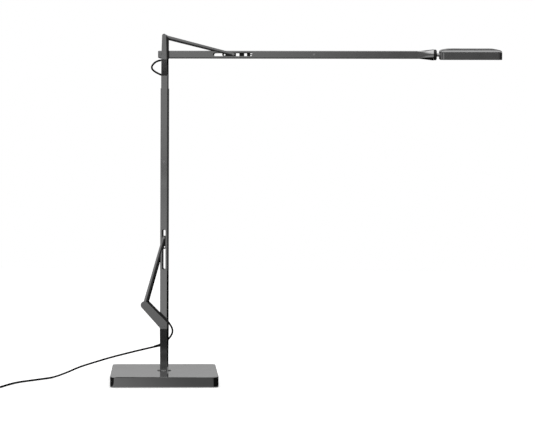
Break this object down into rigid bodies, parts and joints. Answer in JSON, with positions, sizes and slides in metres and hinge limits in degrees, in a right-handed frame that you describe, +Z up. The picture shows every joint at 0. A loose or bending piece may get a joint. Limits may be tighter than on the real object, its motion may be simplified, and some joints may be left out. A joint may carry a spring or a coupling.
{
  "type": "desk lamp",
  "caption": "Swing arm desk lamp: weighted rectangular base, swivelling channel post, two flat tubular arms with struts and sliders in slots, flat square light head, cord to a plug-in supply.",
  "frame": {"origin": "On the table under the swivel axis, at the middle foot pad.", "axes": "+Z up. The arms lie in the XZ plane with the light head along +X. The hinge pins run along Y."},
  "size_m": [0.8033, 0.2697, 0.5254],
  "materials": {
    "polished_casting": "dark grey polished plating, nearly a mirror",
    "polished_arm": "dark grey polished metallic coat",
    "bright_metal": "bright polished plating",
    "raw_iron": "raw sawn plate",
    "plated_steel": "zinc plated, dark",
    "spring_steel": "drawn spring wire",
    "bronze_bush": "sintered bronze",
    "brass_prong": "turned, bright",
    "bare_aluminium": "bare sheet",
    "black_plastic": "moulded black",
    "opal_plastic": "opal, satin",
    "clear_plastic": "clear acrylic",
    "circuit_board": "green solder mask",
    "led_phosphor": "yellow phosphor",
    "soft_rubber": "moulded black rubber",
    "black_cable": "satin black jacket"
  },
  "bodies": {
    "base": {"base_casting": "polished_casting", "base_ballast": "raw_iron", "bottom_cover": "black_plastic", "cover_screws": "plated_steel", "foot_pads": "soft_rubber", "swivel_bush": "bronze_bush", "cord_tube": "black_cable", "cord_coil": "black_cable", "cord_tail": "black_cable", "adapter_case": "black_plastic", "adapter_prongs": "brass_prong", "adapter_relief": "soft_rubber"},
    "post": {"swivel_collar": "polished_arm", "swivel_spindle": "plated_steel", "swivel_nut": "plated_steel", "shoulder_bracket": "polished_arm", "shoulder_pin": "plated_steel", "shoulder_trim": "black_plastic", "cord_relief": "soft_rubber", "shoulder_lead": "black_cable"},
    "lower_arm": {"lower_arm_tube": "polished_arm", "shoulder_knuckle": "black_plastic", "elbow_bracket": "polished_arm", "elbow_pin": "plated_steel", "elbow_trim": "black_plastic", "lower_spring": "spring_steel", "lower_spring_anchor": "plated_steel", "elbow_lead": "black_cable"},
    "lower_slider": {"lower_slider": "black_plastic", "lower_slider_pin": "plated_steel", "lower_spring_yoke": "black_plastic"},
    "lower_strut": {"lower_strut": "polished_arm", "lower_strut_pivot": "plated_steel"},
    "upper_arm": {"upper_arm_tube": "polished_arm", "elbow_bushes": "black_plastic", "upper_arm_cap": "polished_arm", "upper_spring": "spring_steel", "upper_spring_anchor": "plated_steel", "head_socket": "bright_metal"},
    "upper_slider": {"upper_slider": "black_plastic", "upper_slider_pin": "plated_steel", "upper_spring_yoke": "black_plastic"},
    "upper_strut": {"upper_strut": "polished_arm", "upper_strut_pivot": "plated_steel"},
    "nose": {"nose_ring": "black_plastic"},
    "head": {"ball_stem": "bright_metal", "head_frame": "polished_arm", "head_cover": "polished_arm", "head_screws": "plated_steel", "diffuser": "opal_plastic", "light_guide": "clear_plastic", "heat_spreader": "bare_aluminium", "led_board": "circuit_board", "led_chips": "led_phosphor", "dimmer_board": "circuit_board"},
    "button": {"touch_button": "black_plastic"}
  },
  "joints": [
    {"name": "swivel", "type": "hinge", "parent": "base", "child": "post", "pos_m": [0, 0, 0.016], "axis": [0, 0, 1], "range_deg": [-90, 90]},
    {"name": "shoulder", "type": "hinge", "parent": "post", "child": "lower_arm", "pos_m": [0, 0, 0.084], "axis": [0, 1, 0], "range_deg": [-15, 40], "deforming": ["shoulder_lead"]},
    {"name": "elbow", "type": "hinge", "parent": "lower_arm", "child": "upper_arm", "pos_m": [0, 0, 0.4945], "axis": [0, -1, 0], "range_deg": [-50, 25], "deforming": ["elbow_lead"]},
    {"name": "lower_slide", "type": "slide", "parent": "lower_arm", "child": "lower_slider", "axis": [0, 0, 1], "range_m": [-0.02864, 0.01075], "deforming": ["lower_spring"]},
    {"name": "lower_strut_pin", "type": "hinge", "parent": "lower_slider", "child": "lower_strut", "pos_m": [0, 0, 0.2177], "axis": [0, 1, 0], "range_deg": [-3.55, 9.3]},
    {"name": "upper_slide", "type": "slide", "parent": "upper_arm", "child": "upper_slider", "axis": [1, 0, 0], "range_m": [-0.02009, 0.01006], "deforming": ["upper_spring"]},
    {"name": "upper_strut_pin", "type": "hinge", "parent": "upper_slider", "child": "upper_strut", "pos_m": [0.1044, 0, 0.4945], "axis": [0, -1, 0], "range_deg": [-1.35, 2.6]},
    {"name": "head_roll", "type": "hinge", "parent": "upper_arm", "child": "nose", "pos_m": [0.4075, 0, 0.4945], "axis": [1, 0, 0], "range_deg": [-90, 90]},
    {"name": "head_tilt", "type": "hinge", "parent": "nose", "child": "head", "pos_m": [0.402, 0, 0.4945], "axis": [0, 1, 0], "range_deg": [-25, 25]},
    {"name": "dimmer_press", "type": "slide", "parent": "head", "child": "button", "axis": [0, 0.0628, -0.998], "range_m": [0, 0.0008], "stiffness_N_per_m": 250}
  ],
  "couplings": [
    {"joint": "lower_slide", "follows": "shoulder", "m_per_rad": -0.041},
    {"joint": "lower_strut_pin", "follows": "shoulder", "ratio": 0.23},
    {"joint": "upper_slide", "follows": "elbow", "m_per_rad": 0.023},
    {"joint": "upper_strut_pin", "follows": "elbow", "ratio": -0.05}
  ]
}
